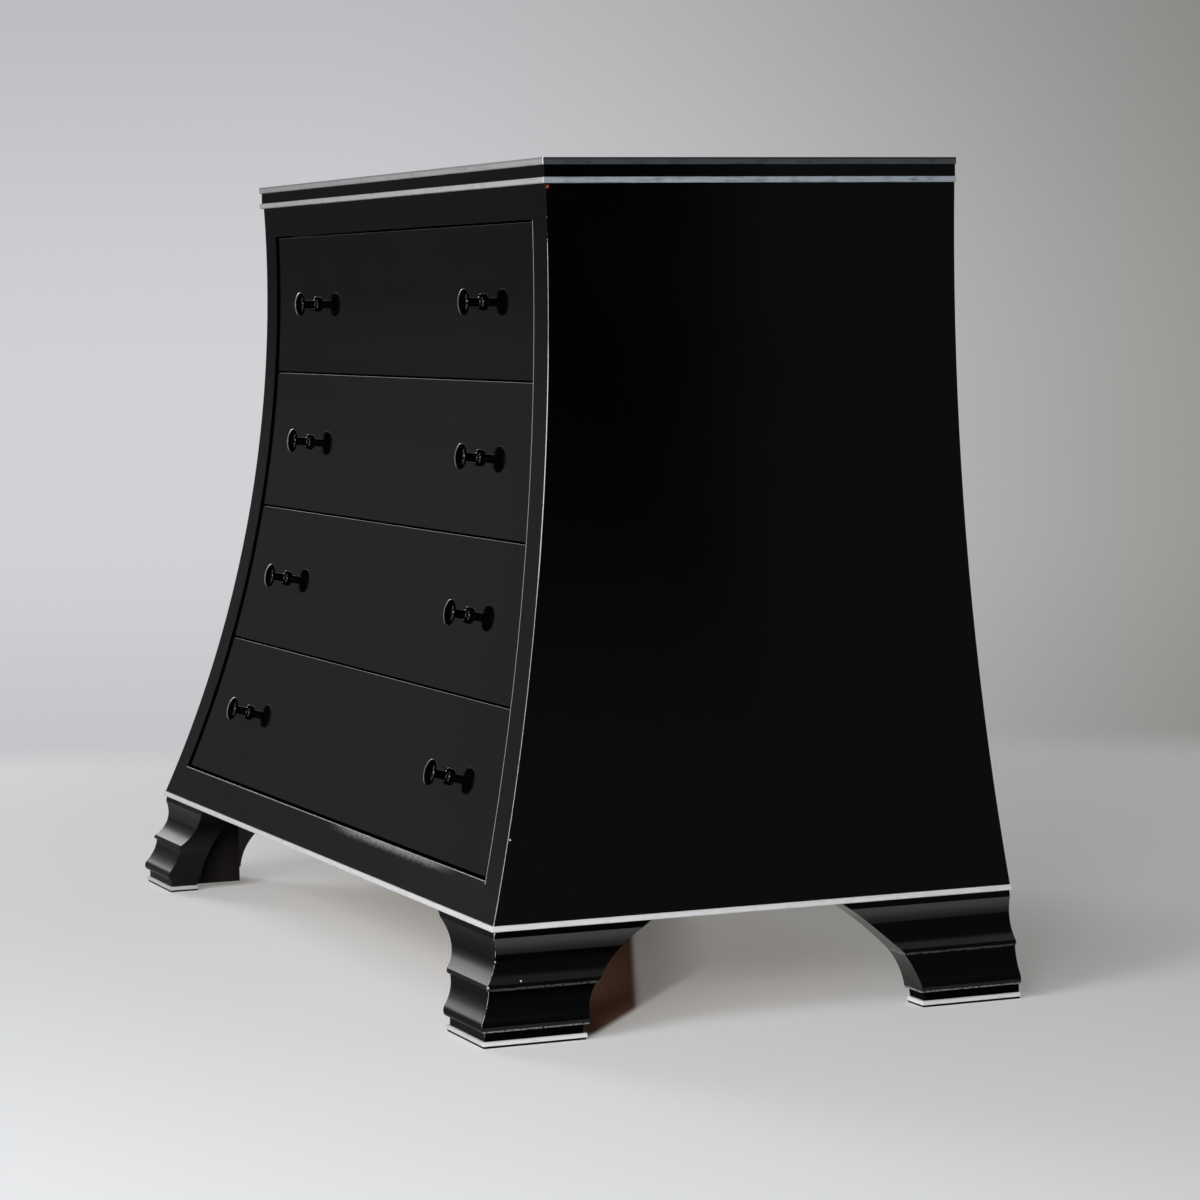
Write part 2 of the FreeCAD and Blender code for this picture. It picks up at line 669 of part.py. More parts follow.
def feet():
    """Moulded wings, silvered pads, soles and inner corner blocks of the four feet."""
    front_run, side_run = mitred_runs(foot_section)
    front_wing = front_run.common(wing_zone(front_wing_zone, FRONT_WING_LENGTH))
    side_wing = side_run.common(wing_zone(side_wing_zone, SIDE_WING_LENGTH))
    back_wing = side_run.common(wing_zone(back_wing_zone, BACK_WING_LENGTH))
    bracket_foot = back_bracket_zone(upright_outline(PAD_TOP, NECK_TOP), BACK_BRACKET_LENGTH)
    bracket = back_bracket_zone(wing_outline, BACK_BRACKET_LENGTH).fuse(bracket_foot).removeSplitter()
    bracket = bracket.cut(back_wing)

    def layer(reach, low, high, rounding):
        """L-shaped plates under a front foot and under a back foot."""
        front, side = plate(reach, foot_inner_reach(PAD_TOP), low, high, rounding)
        short = set_back(reach)
        outline = upright_outline(low, high)
        front_l = front.common(front_wing_zone(outline, FRONT_WING_LENGTH - short))
        side_l = side.common(side_wing_zone(outline, SIDE_WING_LENGTH - short))
        back_l = side.common(back_wing_zone(outline, BACK_WING_LENGTH - short))
        bracket_l = back_bracket_zone(outline, BACK_BRACKET_LENGTH - short)
        return front_l.fuse(side_l).removeSplitter(), back_l.fuse(bracket_l).removeSplitter()

    front_pad, back_pad = layer(PAD_REACH, SOLE_HEIGHT, PAD_TOP, PAD_ROUND)
    front_sole, back_sole = layer(SOLE_REACH, 0.0, SOLE_HEIGHT, SOLE_ROUND)

    block_in = foot_inner_reach(FOOT_HEIGHT) - CORNER_BLOCK_SIZE
    block_out = foot_inner_reach(PAD_TOP)
    front_block = box((HALF_WAIST + block_in, WAIST_Y - block_out, PAD_TOP),
                      (HALF_WAIST + block_out, WAIST_Y - block_in, FOOT_HEIGHT))
    front_block = front_block.cut(front_wing).cut(side_wing)
    back_face = BACK_Y - BACK_BRACKET_THICKNESS
    back_block = box((HALF_WAIST + block_in, back_face - CORNER_BLOCK_SIZE, PAD_TOP),
                     (HALF_WAIST + block_out, back_face, FOOT_HEIGHT)).cut(back_wing)
    return {
        "front_left_foot_front_wing": mirrored(front_wing),
        "front_left_foot_side_wing": mirrored(side_wing),
        "front_right_foot_front_wing": front_wing,
        "front_right_foot_side_wing": side_wing,
        "back_left_foot_side_wing": mirrored(back_wing),
        "back_left_foot_back_bracket": mirrored(bracket),
        "back_right_foot_side_wing": back_wing,
        "back_right_foot_back_bracket": bracket,
        "foot_pads": Part.makeCompound([front_pad, mirrored(front_pad), back_pad, mirrored(back_pad)]),
        "foot_soles": Part.makeCompound([front_sole, mirrored(front_sole), back_sole, mirrored(back_sole)]),
        "foot_corner_blocks": Part.makeCompound([front_block, mirrored(front_block),
                                                 back_block, mirrored(back_block)]),
    }


def whole_part():
    """Every piece of the chest, by name."""
    beads = {
        "upper_bead": bead(TOP_REACH, UPPER_BEAD_BOTTOM, OVERALL_HEIGHT),
        "lower_bead": bead(TOP_REACH, LOWER_BEAD_BOTTOM, CASE_TOP),
        "base_bead": bead(BASE_REACH, FOOT_HEIGHT, CASE_BOTTOM),
    }
    pieces = case_pieces(beads)
    pieces.update(beads)
    pieces.update(drawer_frame())
    pieces.update(feet())
    for index in range(1, DRAWER_COUNT + 1):
        pieces.update(drawer(index))
    return pieces


os.makedirs("parts", exist_ok=True)
for node, shape in whole_part().items():
    solids = shape.Solids
    kept = solids[0] if len(solids) == 1 else Part.makeCompound(solids)
    kept.exportStep("parts/%s.step" % node)
    print("%-30s solids %d  volume %.0f mm3  valid %s" % (node, len(solids), kept.Volume, kept.isValid()))
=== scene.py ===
# %% [markdown]
# A commode chest in black lacquer and silver leaf.
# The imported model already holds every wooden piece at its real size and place.
# This lesson gives those pieces their finishes, and sets up the studio that shows them.

# %% Load the frame
import math

import bmesh
import bpy
from mathutils import Matrix, Vector


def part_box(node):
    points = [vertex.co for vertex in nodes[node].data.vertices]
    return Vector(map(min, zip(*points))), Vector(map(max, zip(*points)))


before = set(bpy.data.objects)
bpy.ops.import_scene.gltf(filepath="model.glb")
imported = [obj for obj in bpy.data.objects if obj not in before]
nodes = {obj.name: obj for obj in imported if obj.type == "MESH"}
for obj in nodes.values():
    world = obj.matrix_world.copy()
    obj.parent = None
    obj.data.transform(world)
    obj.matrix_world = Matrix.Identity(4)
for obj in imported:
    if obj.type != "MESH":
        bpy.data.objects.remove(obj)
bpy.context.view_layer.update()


def rounded(values, places=4):
    """Short numbers for printing."""
    return tuple(round(value, places) for value in values)


print("pieces in the frame:", len(nodes))

# %% [markdown]
# A finish is a small program of shader nodes, and programs read best as arithmetic.
# The nodes could be added and linked one by one, but then a short sum fills half a page.
# The class below wraps one socket instead, so that `1 - mask * 0.5` adds its Math nodes by itself.
# Every other node comes from the one method `node`: settings first, then the sockets.

# %% Shader arithmetic
class Flow:
    """A value that flows between shader nodes; arithmetic on it adds Math nodes."""

    def __init__(self, tree, socket=None):
        self.tree = tree
        self.socket = socket

    def node(self, kind, settings=None, inputs=None, output=0):
        """Adds any node: its settings are made first, then its sockets get values or links."""
        made = self.tree.nodes.new("ShaderNode" + kind)
        for name, setting in (settings or {}).items():
            setattr(made, name, setting)
        for name, value in (inputs or {}).items():
            if isinstance(value, Flow):
                self.tree.links.new(value.socket, made.inputs[name])
            else:
                made.inputs[name].default_value = value
        return Flow(self.tree, made.outputs[output]) if made.outputs else None

    def maths(self, operation, *values):
        return self.node("Math", {"operation": operation}, dict(enumerate(values)))

    def __add__(self, other):
        return self.maths("ADD", self, other)

    def __sub__(self, other):
        return self.maths("SUBTRACT", self, other)

    def __rsub__(self, other):
        return self.maths("SUBTRACT", other, self)

    def __mul__(self, other):
        return self.maths("MULTIPLY", self, other)

    def __abs__(self):
        return self.maths("ABSOLUTE", self)

    __radd__ = __add__
    __rmul__ = __mul__

    def root(self):
        return self.maths("SQRT", self)

    def greater(self, other):
        return self.maths("MAXIMUM", self, other)

    def rise(self, low, high):
        """0 at low, 1 at high and a smooth step between; it falls where low is the larger."""
        return self.node("MapRange", {"interpolation_type": "SMOOTHSTEP"},
                         {"Value": self, "From Min": low, "From Max": high})

    def axis(self, letter):
        return self.node("SeparateXYZ", inputs={0: self}, output=letter)

    def dot(self, vector):
        return self.node("VectorMath", {"operation": "DOT_PRODUCT"}, {0: self, 1: vector}, "Value")

    def away_from(self, point):
        return self.node("VectorMath", {"operation": "DISTANCE"}, {0: self, 1: point}, "Value")

    def stretched(self, x, y, z):
        return self.node("Mapping", inputs={"Vector": self, "Scale": (x, y, z)})

    def noise(self, scale, detail=2.0, roughness=0.5):
        return self.node("TexNoise", inputs={"Vector": self, "Scale": scale, "Detail": detail,
                                             "Roughness": roughness})

    def blend(self, colour, other):
        """One colour where this value is 0, the other where it is 1."""
        return self.node("Mix", {"data_type": "RGBA"}, {0: self, 6: colour, 7: other}, 2)


print("shader arithmetic ready")

# %% Starting and closing a finish
def shown(red, green, blue):
    """The linear colour that a screen shows at these levels of 0 to 255."""
    def linear(level):
        part = level / 255
        return part / 12.92 if part <= 0.04045 else ((part + 0.055) / 1.055) ** 2.4
    return linear(red), linear(green), linear(blue), 1.0


def new_finish(name):
    """An empty material, and the place on the piece, in metres of the shared frame."""
    material = bpy.data.materials.new(name)
    material.use_nodes = True
    material.node_tree.nodes.clear()
    place = Flow(material.node_tree).node("TexCoord", output="Object")
    return material, place


def close_finish(place, surface):
    """Joins a finished surface to the material's output."""
    place.node("OutputMaterial", inputs={"Surface": surface})


def bumped(place, height):
    """A normal that follows a height in metres."""
    return place.node("Bump", inputs={"Strength": 1.0, "Distance": 1.0, "Height": height})


print("middle grey of a screen:", rounded(shown(128, 128, 128)))

# %% [markdown]
# The camera stands as in the photograph: to the right of the chest, a little below its top.
# A Track To constraint could aim it, but the picture also leans by a degree.
# So its three axes are worked out from the yaw, the pitch and the roll.
# A long lens from about four and a half metres keeps the verticals calm, as in a catalogue picture.

# %% Camera
CAMERA_PLACE = Vector((4.124419, -1.606197, 0.744877))
CAMERA_YAW = math.radians(67.7085)
CAMERA_PITCH = math.radians(-4.54337)
CAMERA_ROLL = math.radians(-0.86986)
CAMERA_LENS = 113.882
SENSOR_WIDTH = 36.0

forward = Vector((-math.sin(CAMERA_YAW) * math.cos(CAMERA_PITCH),
                  math.cos(CAMERA_YAW) * math.cos(CAMERA_PITCH),
                  math.sin(CAMERA_PITCH)))
level_forward = Vector((forward.x, forward.y, 0.0)).normalized()
rightward = Vector((math.cos(CAMERA_YAW), math.sin(CAMERA_YAW), 0.0))
upward = rightward.cross(forward)
turned_right = math.cos(CAMERA_ROLL) * rightward + math.sin(CAMERA_ROLL) * upward
turned_up = math.cos(CAMERA_ROLL) * upward - math.sin(CAMERA_ROLL) * rightward

camera_data = bpy.data.cameras.new("camera")
camera_data.lens = CAMERA_LENS
camera_data.sensor_width = SENSOR_WIDTH
camera = bpy.data.objects.new("camera", camera_data)
axes = Matrix((turned_right, turned_up, -forward)).transposed()
camera.matrix_world = Matrix.Translation(CAMERA_PLACE) @ axes.to_4x4()
bpy.context.scene.collection.objects.link(camera)
bpy.context.scene.camera = camera
bpy.context.scene.view_settings.view_transform = "Standard"
print("camera at", rounded(camera.location, 3))

# %% [markdown]
# Black lacquer has almost no colour of its own: what we see in it is the room.
# So the studio matters as much as the finish. Walls and screens could be built around the chest,
# but they would stand in the way of the other views, so the room is drawn in the world's light.
# It is drawn by direction. A direction has three parts between -1 and 1, and each edge in the
# next cells is a pair of such numbers: where a change starts, and where it is complete.

# %% Directions of the room
world = bpy.data.worlds.new("studio")
bpy.context.scene.world = world
world.use_nodes = True
world.node_tree.nodes.clear()
ray = Flow(world.node_tree).node("TexCoord", output="Generated")
across = ray.dot(rightward)
ahead = ray.dot(level_forward)
width_way = ray.axis("X")
depth_way = ray.axis("Y")
height = ray.axis("Z")
seen = ray.node("LightPath", output="Is Camera Ray")
through = ray.node("LightPath", output="Is Transmission Ray")
mirrored = ray.node("LightPath", output="Is Glossy Ray")
print("the camera looks along", rounded(level_forward, 3))

# %% [markdown]
# A pale wall stands behind the chest, brighter on the left and darker towards the top.
# The camera sees it, and so do reflections that look the same way.

# %% Wall behind the chest
WALL_LEFT = shown(209, 210, 213)
WALL_RIGHT = shown(134, 131, 125)
WALL_TURN = (-0.08, 0.26)
WALL_TOP_SHARE = 0.74
WALL_TOP_EDGE = (-0.03, 0.12)
WALL_FOOT_SHARE = 0.86
WALL_FOOT_EDGE = (-0.055, -0.125)
WALL_SIDE_END = (0.80, 0.93)
WALL_HIGH_END = (0.34, 0.16)

wall = across.rise(*WALL_TURN).blend(WALL_LEFT, WALL_RIGHT)
wall_share = 1 - height.rise(*WALL_TOP_EDGE) * (1 - WALL_TOP_SHARE)
wall_share -= height.rise(*WALL_FOOT_EDGE) * (1 - WALL_FOOT_SHARE)
in_sector = ahead.rise(*WALL_SIDE_END) * height.rise(*WALL_HIGH_END)
is_wall = seen.greater(through).greater(in_sector * mirrored)
print("wall from", rounded(WALL_LEFT, 2), "to", rounded(WALL_RIGHT, 2))

# %% [markdown]
# The front mirrors the left side of the room: dim near the floor, lighter above,
# and lighter again towards the viewer. Over it lies a broad glow, as from a large window.

# %% Left side of the room
LEFT_LOW = 0.29
LEFT_MIDDLE = 0.58
LEFT_MIDDLE_EDGE = (0.006, 0.034)
LEFT_HIGH = 1.55
LEFT_HIGH_EDGE = (0.083, 0.118)
LEFT_FAR = 0.9
LEFT_NEAR = 1.7
LEFT_NEAR_EDGE = (-0.285, -0.37)
GLOW_LOWER = 10.5
GLOW_LOWER_EDGE = (0.14, 0.235)
GLOW_UPPER = 4.0
GLOW_UPPER_EDGE = (0.22, 0.38)
GLOW_NEAR_END = (-0.80, -0.55)
GLOW_FAR_END = (0.30, 0.05)
GLOW_TOP_END = (0.80, 0.55)

left_wall = LEFT_LOW + height.rise(*LEFT_MIDDLE_EDGE) * (LEFT_MIDDLE - LEFT_LOW)
left_wall += height.rise(*LEFT_HIGH_EDGE) * (LEFT_HIGH - LEFT_MIDDLE)
left_wall *= LEFT_FAR + depth_way.rise(*LEFT_NEAR_EDGE) * (LEFT_NEAR - LEFT_FAR)
glow = height.rise(*GLOW_LOWER_EDGE) * GLOW_LOWER + height.rise(*GLOW_UPPER_EDGE) * GLOW_UPPER
glow *= depth_way.rise(*GLOW_NEAR_END) * depth_way.rise(*GLOW_FAR_END) * height.rise(*GLOW_TOP_END)
left_level = left_wall + glow
print("left side, levels up to", GLOW_LOWER + GLOW_UPPER)

# %% [markdown]
# The side panel mirrors the right side, which is dark but for a strip at the back and the upper part.
# The top board mirrors the ceiling.

# %% Right side and ceiling
RIGHT_DARK = 0.004
RIGHT_LIT = 0.082
RIGHT_BACK_EDGE = (0.393, 0.425)
RIGHT_HIGH_EDGE = (0.10, 0.42)
RIGHT_START = (0.1, 0.5)
CEILING = 0.38
CEILING_EDGE = (0.74, 0.92)

lit_part = depth_way.rise(*RIGHT_BACK_EDGE).greater(height.rise(*RIGHT_HIGH_EDGE))
right_level = RIGHT_DARK + lit_part * (RIGHT_LIT - RIGHT_DARK)
room = left_level + width_way.rise(*RIGHT_START) * (right_level - left_level)
room += height.rise(*CEILING_EDGE) * (CEILING - room)
print("right side, levels", RIGHT_DARK, "to", RIGHT_LIT)

# %% [markdown]
# Only reflections see that room. Matt surfaces get one even, low level from all sides,
# so that the lamps alone shape them.

# %% World light
AMBIENT = 0.10
WHITE = (1.0, 1.0, 1.0, 1.0)

even = AMBIENT + mirrored * (room - AMBIENT)
strength = is_wall * wall_share + (1 - is_wall) * even
light = ray.node("Background", inputs={"Color": is_wall.blend(WHITE, wall), "Strength": strength})
ray.node("OutputWorld", inputs={"Surface": light})
print("even level", AMBIENT)

# %% [markdown]
# Four soft lamps do the rest. The one beside the viewer is small and bright: it draws the thin line
# of light down the corner, and the points of light on the knobs. The others only lift the floor
# and the silver, so they are kept out of the lacquer's reflections.

# %% Lamps
COOL = (0.95, 0.98, 1.0)


def soft_lamp(name, place, target, width, tall, power, colour=WHITE[:3], reflected=False):
    """A rectangular soft lamp that faces a point and stays out of the picture itself."""
    data = bpy.data.lights.new(name, "AREA")
    data.shape = "RECTANGLE"
    data.size = width
    data.size_y = tall
    data.energy = power
    data.color = colour
    lamp = bpy.data.objects.new(name, data)
    lamp.location = place
    lamp.rotation_euler = (Vector(target) - Vector(place)).to_track_quat("-Z", "Y").to_euler()
    lamp.visible_camera = False
    lamp.visible_glossy = reflected
    bpy.context.scene.collection.objects.link(lamp)
    print(name, "at", place, "power", power)


soft_lamp("key_lamp", place=(1.45, -3.1, 1.75), target=(0.1, -0.2, 0.2),
          width=1.4, tall=1.8, power=66.0, colour=COOL)
soft_lamp("front_lamp", place=(3.0, -3.3, 1.3), target=(0.2, -0.3, 0.0),
          width=1.8, tall=1.4, power=58.0)
soft_lamp("viewer_lamp", place=(3.75, -2.2, 1.5), target=(0.1, -0.2, 0.1),
          width=0.8, tall=0.8, power=46.0, reflected=True)
soft_lamp("left_lamp", place=(-4.0, -1.3, 2.0), target=(0.0, -0.2, 0.2),
          width=1.8, tall=1.8, power=76.0)

# %% [markdown]
# The floor is a pale painted sweep that runs into the wall without an edge.
# A curved sheet could make the sweep, but a large disc is enough: its far part turns clear,
# so that the wall behind shows through.
# The picture and the reflections see it a little paler than the lamps make it, as from the wall's light.
# Only a strip under the case misses that light: the feet at the near corner and behind it stand in
# the way. Soft lamps leave such a strip too light, so it is painted darker as well.

# %% Paint of the floor
FLOOR_COLOUR = (0.655, 0.665, 0.685, 1.0)
FLOOR_MOTTLE = (0.63535, 0.64505, 0.66445, 1.0)
FLOOR_PALE = (0.207, 0.202, 0.193, 1.0)
FLOOR_SHADE = (0.30, 0.18, 0.14, 1.0)
UNLIT = (0.0, 0.0, 0.0, 1.0)
CASE_SIDE_EDGE = (0.62, 0.59)
CASE_FRONT_EDGE = (0.24, 0.18)
FOOT_SLANT = 2.5
FOOT_EDGE = (0.78, 0.74)
SHADE_START = (-0.10, 0.0)
SHADE_END = (0.121, 0.105)
FRINGE_END = (0.22, 0.11)
FRINGE_SHARE = 0.55
FLOOR_FADE = (1.55, 2.05)
FADE_MARGIN = 1.0


def painted_floor():
    """Pale paint that is darker behind the near foot, and clear towards the wall."""
    material, place = new_finish("painted_floor")
    x = place.axis("X")
    y = place.axis("Y")
    to_right = place.dot(rightward)
    under_case = abs(x).rise(*CASE_SIDE_EDGE) * abs(y).rise(*CASE_FRONT_EDGE)
    behind_foot = under_case * (x + to_right * FOOT_SLANT).rise(*FOOT_EDGE) * to_right.rise(*SHADE_START)
    shade = behind_foot * to_right.rise(*SHADE_END)
    fringe = behind_foot * to_right.rise(*FRINGE_END) * FRINGE_SHARE
    seen = place.node("LightPath", output="Is Camera Ray")
    seen = seen.greater(place.node("LightPath", output="Is Glossy Ray"))
    seen = seen.greater(place.node("LightPath", output="Is Transmission Ray"))
    pale = seen * (1 - shade.greater(fringe))
    mottled = place.noise(2.5, 3.0).blend(FLOOR_COLOUR, FLOOR_MOTTLE)
    paint = place.node("BsdfPrincipled", inputs={
        "Base Color": shade.blend(mottled, FLOOR_SHADE), "Roughness": 0.6, "Specular IOR Level": 0.0,
        "Emission Color": pale.blend(UNLIT, FLOOR_PALE), "Emission Strength": 1.0,
    })
    clear = place.node("BsdfTransparent")
    from_middle = (x * x + y * y).root()
    gone = place.dot(level_forward).greater(from_middle - FADE_MARGIN).rise(*FLOOR_FADE)
    close_finish(place, place.node("MixShader", inputs={0: gone, 1: paint, 2: clear}))
    return material


print("floor clear from", FLOOR_FADE[1], "m towards the wall")

# %% Floor
FLOOR_RADIUS = 4.0
FLOOR_SINK = 0.0002

floor_mesh = bpy.data.meshes.new("floor")
disc = bmesh.new()
bmesh.ops.create_circle(disc, cap_ends=True, segments=96, radius=FLOOR_RADIUS,
                        matrix=Matrix.Translation((0.0, 0.0, -FLOOR_SINK)))
disc.to_mesh(floor_mesh)
disc.free()
floor_mesh.materials.append(painted_floor())
floor = bpy.data.objects.new("floor", floor_mesh)
bpy.context.scene.collection.objects.link(floor)
print("floor radius", FLOOR_RADIUS)

# %% [markdown]
# Wear and bare wood have their places on the chest. They could be painted on each piece by hand,
# but the chest's own shape can place them: one hollow arc makes the front and both sides.
# From any point we get its reach beyond the waist, and from that its depth behind the hollow face.

# %% Form of the case
PANEL_THICKNESS = 0.022
HALF_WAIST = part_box("right_side_panel")[0].x + PANEL_THICKNESS
WAIST_Y = -0.16554
WAIST_HEIGHT = 0.781
FLARE_RADIUS = 1.953
MASK_EDGE = 0.0002


def side_reach(place):
    """How far a point lies outside the waist, to the side."""
    return abs(place.axis("X")) - HALF_WAIST


def front_reach(place):
    """How far a point lies outside the waist, to the front."""
    return WAIST_Y - place.axis("Y")


def depth_behind(face_reach, place):
    """How deep a point lies behind the hollow face that the reach is measured to."""
    drop = place.axis("Z") - WAIST_HEIGHT
    span = FLARE_RADIUS - face_reach(place)
    return (span * span + drop * drop).root() - FLARE_RADIUS


def behind(face_reach, depth):
    """A mask of what lies deeper than this behind that face."""
    return lambda place: depth_behind(face_reach, place).rise(depth, depth + MASK_EDGE)


print("half the waist:", round(HALF_WAIST, 4), "arc of radius", FLARE_RADIUS)

# %% [markdown]
# Bare wood shows inside: drawer boxes of a pale hardwood, and a softwood frame that carries them.
# Boards could be painted one by one, but a noise that is stretched along one axis gives grain lines
# to all of them. The axis is the length of the board. The back is stained dark. The hidden rails behind
# the drawers get the same dark stain without sheen, as painted shade in the gaps between the drawers.

# %% Grain
GRAIN_SLOW = 1.5
GRAIN_QUICK = 70.0
GRAIN_AXES = {
    "X": (GRAIN_SLOW, GRAIN_QUICK, GRAIN_QUICK),
    "Y": (GRAIN_QUICK, GRAIN_SLOW, GRAIN_QUICK),
    "Z": (GRAIN_QUICK, GRAIN_QUICK, GRAIN_SLOW),
}
GRAIN_DEPTH = 0.00008
GRAIN_ROUGHNESS = 0.15
WOOD_SHINE = 0.2


def planed(place, pale, dark, along, roughness, shine=WOOD_SHINE):
    """The surface of a planed board with its grain along one axis."""
    grain = place.stretched(*GRAIN_AXES[along]).noise(1.0, 5.0, 0.62)
    return place.node("BsdfPrincipled", inputs={
        "Base Color": grain.rise(0.30, 0.72).blend(pale, dark),
        "Roughness": roughness + grain * GRAIN_ROUGHNESS,
        "Normal": bumped(place, grain * GRAIN_DEPTH),
        "Specular IOR Level": shine,
    })


print("grain along", ", ".join(GRAIN_AXES))

# %% Woods
OAK = ((0.62, 0.46, 0.28, 1.0), (0.45, 0.31, 0.18, 1.0))
PINE = ((0.52, 0.37, 0.22, 1.0), (0.38, 0.25, 0.14, 1.0))
STAIN_AND_GAP_SHADE = ((0.016, 0.014, 0.013, 1.0), (0.008, 0.007, 0.007, 1.0))
SOLE = ((0.010, 0.010, 0.010, 1.0), (0.005, 0.005, 0.005, 1.0))
OAK_ROUGHNESS = 0.45
PINE_ROUGHNESS = 0.55
STAIN_ROUGHNESS = 0.5
SOLE_ROUGHNESS = 0.7
NO_SHINE = 0.0


def wood(name, colours, *look):
    """A bare or stained board in a pale and a dark colour."""
    material, place = new_finish(name)
    close_finish(place, planed(place, *colours, *look))
    return material


finishes = {
    "oak_across": wood("drawer_wood_across", OAK, "X", OAK_ROUGHNESS),
    "oak_along": wood("drawer_wood_along", OAK, "Y", OAK_ROUGHNESS),
    "pine_across": wood("frame_wood_across", PINE, "X", PINE_ROUGHNESS),
    "pine_along": wood("frame_wood_along", PINE, "Y", PINE_ROUGHNESS),
    # the dark stain is also painted shade on the hidden rails behind the drawer gaps
    "stain_and_gap_shade": wood("dark_stain", STAIN_AND_GAP_SHADE, "Z", STAIN_ROUGHNESS, NO_SHINE),
    "sole": wood("dark_sole", SOLE, "X", SOLE_ROUGHNESS, NO_SHINE),
}
print("woods:", ", ".join(finishes))

# %% [markdown]
# Old lacquer is brittle. On the sharp corners it has chipped, and the pale ground shows
# as a broken line. The same pale, bluish line also stands for the light that the rounded corners catch,
# so it is partly a painted highlight. A few single nicks are scattered besides.
# Cuts in the mesh could show them, but chips this thin are only colour, so they are masks:
# a line where the reaches to the side and to the front are equal, broken by noise along its length.

# %% Chips, painted corner highlight and nicks
CHIP_AND_HIGHLIGHT_WIDTH = 0.00033
CHIP_AND_HIGHLIGHT_SOLID_SHARE = 0.4
CHIP_AND_HIGHLIGHT_DEPTH_SHARE = 0.8
CHIP_AND_HIGHLIGHT_TOP_EDGE = (0.78, 0.82)
CHIP_AND_HIGHLIGHT_BREAK = 0.06
NICK_SOLID_SHARE = 0.6


def corner_chips_and_highlight(place, top_share, share, depth):
    """A broken line down the corner of front and side, chips and painted highlight; the shares say how
    much of it shows.
    """
    side = side_reach(place)
    on_corner = abs(side - front_reach(place)).rise(CHIP_AND_HIGHLIGHT_WIDTH, CHIP_AND_HIGHLIGHT_SOLID_SHARE * CHIP_AND_HIGHLIGHT_WIDTH)
    outside = depth_behind(side_reach, place).rise(depth, CHIP_AND_HIGHLIGHT_DEPTH_SHARE * depth)
    kept = 1 - share - place.axis("Z").rise(*CHIP_AND_HIGHLIGHT_TOP_EDGE) * (top_share - share)
    broken = place.stretched(0.0, 0.0, 1.0).noise(75.0, 4.0, 0.65).rise(kept, kept + CHIP_AND_HIGHLIGHT_BREAK)
    return on_corner * outside * broken


def nick(place, point, radius):
    """1 at a point, 0 beyond the radius, with a ragged edge."""
    ragged = place.away_from(point) + (place.noise(900.0, 2.0) - 0.5) * radius
    return ragged.rise(radius, NICK_SOLID_SHARE * radius)


print("chips_and_highlight", CHIP_AND_HIGHLIGHT_WIDTH * 1000, "mm to each side of the corner")

# %% [markdown]
# Lacquer: many thin black coats, rubbed flat by hand. The colour is nearly nothing, the gloss is high,
# and the surface is never quite flat, so reflections bend a little.
# One plain glossy shader could do for all of it, but its mirror images would be too perfect.
# So a slow ripple, brush lines and a fine peel go into the bump, and faint smears into the roughness.
# Where a piece is matt, a second shader with another specular level is mixed in by a mask.

# %% Black lacquer
LACQUER_BLACK = (0.0008, 0.0008, 0.0012, 1.0)
PALE_GROUND_AND_HIGHLIGHT = (0.62, 0.66, 0.72, 1.0)
GROUND_RED = (0.42, 0.06, 0.03, 1.0)
# a pale grey for wear, and also for painted highlights and painted reflections on edges
HIGHLIGHT_AND_WEAR_GREY = (0.34, 0.34, 0.35, 1.0)
RIPPLE_DEPTH = 0.00012
BRUSH_DEPTH = 0.000004
PEEL_DEPTH = 0.0000006
SMEAR_ROUGHNESS = 0.04
CHIP_AND_HIGHLIGHT_ROUGHNESS = 0.3
COAT_IOR = 2.0
COAT_ROUGHNESS = 0.08


def lacquer(name, shine, roughness, chips_and_highlight=None, bare=None, nicks=(), coat=None, highlights_and_wear=None, matt=()):
    """Black lacquer on one kind of piece; bare is the mask of wood, matt holds masks and their shines."""
    material, place = new_finish(name)
    ripple = place.noise(7.0, 1.0) * RIPPLE_DEPTH
    brush = place.stretched(90.0, 90.0, 5.0).noise(1.0, 2.0) * BRUSH_DEPTH
    peel = place.noise(900.0, 1.0) * PEEL_DEPTH
    smear = place.noise(14.0, 4.0).rise(0.35, 0.75)
    colour = LACQUER_BLACK
    rough = roughness + smear * SMEAR_ROUGHNESS
    # the pale corner line is chipped lacquer and a painted highlight
    if chips_and_highlight:
        chip_and_highlight = corner_chips_and_highlight(place, *chips_and_highlight)
        colour = chip_and_highlight.blend(colour, PALE_GROUND_AND_HIGHLIGHT)
        rough += chip_and_highlight * CHIP_AND_HIGHLIGHT_ROUGHNESS
    # lines in that grey: painted highlights and reflections, and wear
    if highlights_and_wear:
        colour = highlights_and_wear(place).blend(colour, HIGHLIGHT_AND_WEAR_GREY)
    for point, radius, ground in nicks:
        colour = nick(place, point, radius).blend(colour, ground)
    coated = {
        "Base Color": colour, "Roughness": rough, "Normal": bumped(place, ripple + brush + peel),
        "Specular IOR Level": shine, "Coat Weight": coat(place) if coat else 0.0,
        "Coat IOR": COAT_IOR, "Coat Roughness": COAT_ROUGHNESS,
    }
    surface = place.node("BsdfPrincipled", inputs=coated)
    for matt_mask, matt_shine in matt:
        dimmed = place.node("BsdfPrincipled", inputs={**coated, "Specular IOR Level": matt_shine})
        surface = place.node("MixShader", inputs={0: matt_mask(place), 1: surface, 2: dimmed})
    if bare:
        board = planed(place, *PINE, "Z", PINE_ROUGHNESS)
        surface = place.node("MixShader", inputs={0: bare(place), 1: surface, 2: board})
    close_finish(place, surface)
    return material


print("lacquer colour", LACQUER_BLACK[:3])

